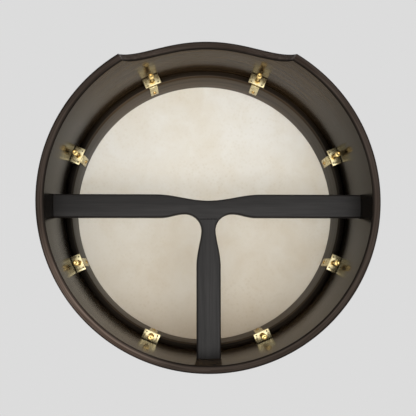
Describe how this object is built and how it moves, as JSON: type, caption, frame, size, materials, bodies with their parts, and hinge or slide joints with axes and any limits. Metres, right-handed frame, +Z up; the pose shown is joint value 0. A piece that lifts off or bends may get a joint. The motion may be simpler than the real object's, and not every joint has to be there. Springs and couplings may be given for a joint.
{
  "type": "bodhran",
  "caption": "Tunable frame drum with an open back: bent wooden shell with an arm scoop, T-bar, stretched skin, and an inner tuning ring pushed by brass tuning screws.",
  "frame": {"origin": "on the drum axis, in the back face of the T-bar's crossbar, where the player's hand holds it", "axes": "+Y along the drum axis from the open back to the skin, +Z up towards the arm scoop, +X to the right seen from the open back"},
  "size_m": [0.4632, 0.1559, 0.4632],
  "materials": {
    "shell_stain": "black-brown stain, semi-gloss",
    "ring_stain": "black-brown stain, satin",
    "bar_stain": "charcoal stain, satin, fine grain",
    "goatskin": "natural cream rawhide, mottled",
    "trim_leather": "black, matt",
    "brass_plate": "pale brushed",
    "brass_screw": "polished",
    "dark_screw": "blackened"
  },
  "bodies": {
    "frame": {"frame_shell": "shell_stain", "t_bar_crossbar": "bar_stain", "t_bar_stem": "bar_stain", "t_bar_screw_left": "dark_screw", "t_bar_screw_right": "dark_screw", "t_bar_screw_bottom": "dark_screw", "skin_skirt": "goatskin", "skin_trim_band": "trim_leather", "bracket_1": "brass_plate", "bracket_screw_1": "brass_screw", "bracket_nut_1": "brass_screw", "bracket_2": "brass_plate", "bracket_screw_2": "brass_screw", "bracket_nut_2": "brass_screw", "bracket_3": "brass_plate", "bracket_screw_3": "brass_screw", "bracket_nut_3": "brass_screw", "bracket_4": "brass_plate", "bracket_screw_4": "brass_screw", "bracket_nut_4": "brass_screw", "bracket_5": "brass_plate", "bracket_screw_5": "brass_screw", "bracket_nut_5": "brass_screw", "bracket_6": "brass_plate", "bracket_screw_6": "brass_screw", "bracket_nut_6": "brass_screw", "bracket_7": "brass_plate", "bracket_screw_7": "brass_screw", "bracket_nut_7": "brass_screw", "bracket_8": "brass_plate", "bracket_screw_8": "brass_screw", "bracket_nut_8": "brass_screw"},
    "tuning_ring": {"tuning_ring": "ring_stain", "skin_head": "goatskin", "ring_plate_1": "brass_plate", "ring_plate_screw_1": "brass_screw", "ring_plate_2": "brass_plate", "ring_plate_screw_2": "brass_screw", "ring_plate_3": "brass_plate", "ring_plate_screw_3": "brass_screw", "ring_plate_4": "brass_plate", "ring_plate_screw_4": "brass_screw", "ring_plate_5": "brass_plate", "ring_plate_screw_5": "brass_screw", "ring_plate_6": "brass_plate", "ring_plate_screw_6": "brass_screw", "ring_plate_7": "brass_plate", "ring_plate_screw_7": "brass_screw", "ring_plate_8": "brass_plate", "ring_plate_screw_8": "brass_screw"},
    "tuning_screw_1": {"tuning_screw_1": "brass_screw"},
    "tuning_screw_2": {"tuning_screw_2": "brass_screw"},
    "tuning_screw_3": {"tuning_screw_3": "brass_screw"},
    "tuning_screw_4": {"tuning_screw_4": "brass_screw"},
    "tuning_screw_5": {"tuning_screw_5": "brass_screw"},
    "tuning_screw_6": {"tuning_screw_6": "brass_screw"},
    "tuning_screw_7": {"tuning_screw_7": "brass_screw"},
    "tuning_screw_8": {"tuning_screw_8": "brass_screw"}
  },
  "joints": [
    {"name": "ring_travel", "type": "slide", "parent": "frame", "child": "tuning_ring", "axis": [0, 1, 0], "range_m": [-0.002, 0.003]},
    {"name": "tuning_screw_turn_1", "type": "hinge", "parent": "tuning_ring", "child": "tuning_screw_1", "pos_m": [0.07675, 0.0429, 0.19386], "axis": [0, 1, 0], "range_deg": [-901, 1351]},
    {"name": "tuning_screw_turn_2", "type": "hinge", "parent": "tuning_ring", "child": "tuning_screw_2", "pos_m": [0.19304, 0.0429, 0.07878], "axis": [0, 1, 0], "range_deg": [-901, 1351]},
    {"name": "tuning_screw_turn_3", "type": "hinge", "parent": "tuning_ring", "child": "tuning_screw_3", "pos_m": [0.19135, 0.0429, -0.08281], "axis": [0, 1, 0], "range_deg": [-901, 1351]},
    {"name": "tuning_screw_turn_4", "type": "hinge", "parent": "tuning_ring", "child": "tuning_screw_4", "pos_m": [0.08281, 0.0429, -0.19135], "axis": [0, 1, 0], "range_deg": [-901, 1351]},
    {"name": "tuning_screw_turn_5", "type": "hinge", "parent": "tuning_ring", "child": "tuning_screw_5", "pos_m": [-0.08414, 0.0429, -0.19077], "axis": [0, 1, 0], "range_deg": [-901, 1351]},
    {"name": "tuning_screw_turn_6", "type": "hinge", "parent": "tuning_ring", "child": "tuning_screw_6", "pos_m": [-0.19178, 0.0429, -0.0818], "axis": [0, 1, 0], "range_deg": [-901, 1351]},
    {"name": "tuning_screw_turn_7", "type": "hinge", "parent": "tuning_ring", "child": "tuning_screw_7", "pos_m": [-0.19304, 0.0429, 0.07878], "axis": [0, 1, 0], "range_deg": [-901, 1351]},
    {"name": "tuning_screw_turn_8", "type": "hinge", "parent": "tuning_ring", "child": "tuning_screw_8", "pos_m": [-0.08281, 0.0429, 0.19135], "axis": [0, 1, 0], "range_deg": [-901, 1351]}
  ],
  "couplings": [
    {"joint": "tuning_screw_turn_1", "follows": "ring_travel", "rad_per_m": 7854},
    {"joint": "tuning_screw_turn_2", "follows": "ring_travel", "rad_per_m": 7854},
    {"joint": "tuning_screw_turn_3", "follows": "ring_travel", "rad_per_m": 7854},
    {"joint": "tuning_screw_turn_4", "follows": "ring_travel", "rad_per_m": 7854},
    {"joint": "tuning_screw_turn_5", "follows": "ring_travel", "rad_per_m": 7854},
    {"joint": "tuning_screw_turn_6", "follows": "ring_travel", "rad_per_m": 7854},
    {"joint": "tuning_screw_turn_7", "follows": "ring_travel", "rad_per_m": 7854},
    {"joint": "tuning_screw_turn_8", "follows": "ring_travel", "rad_per_m": 7854}
  ]
}
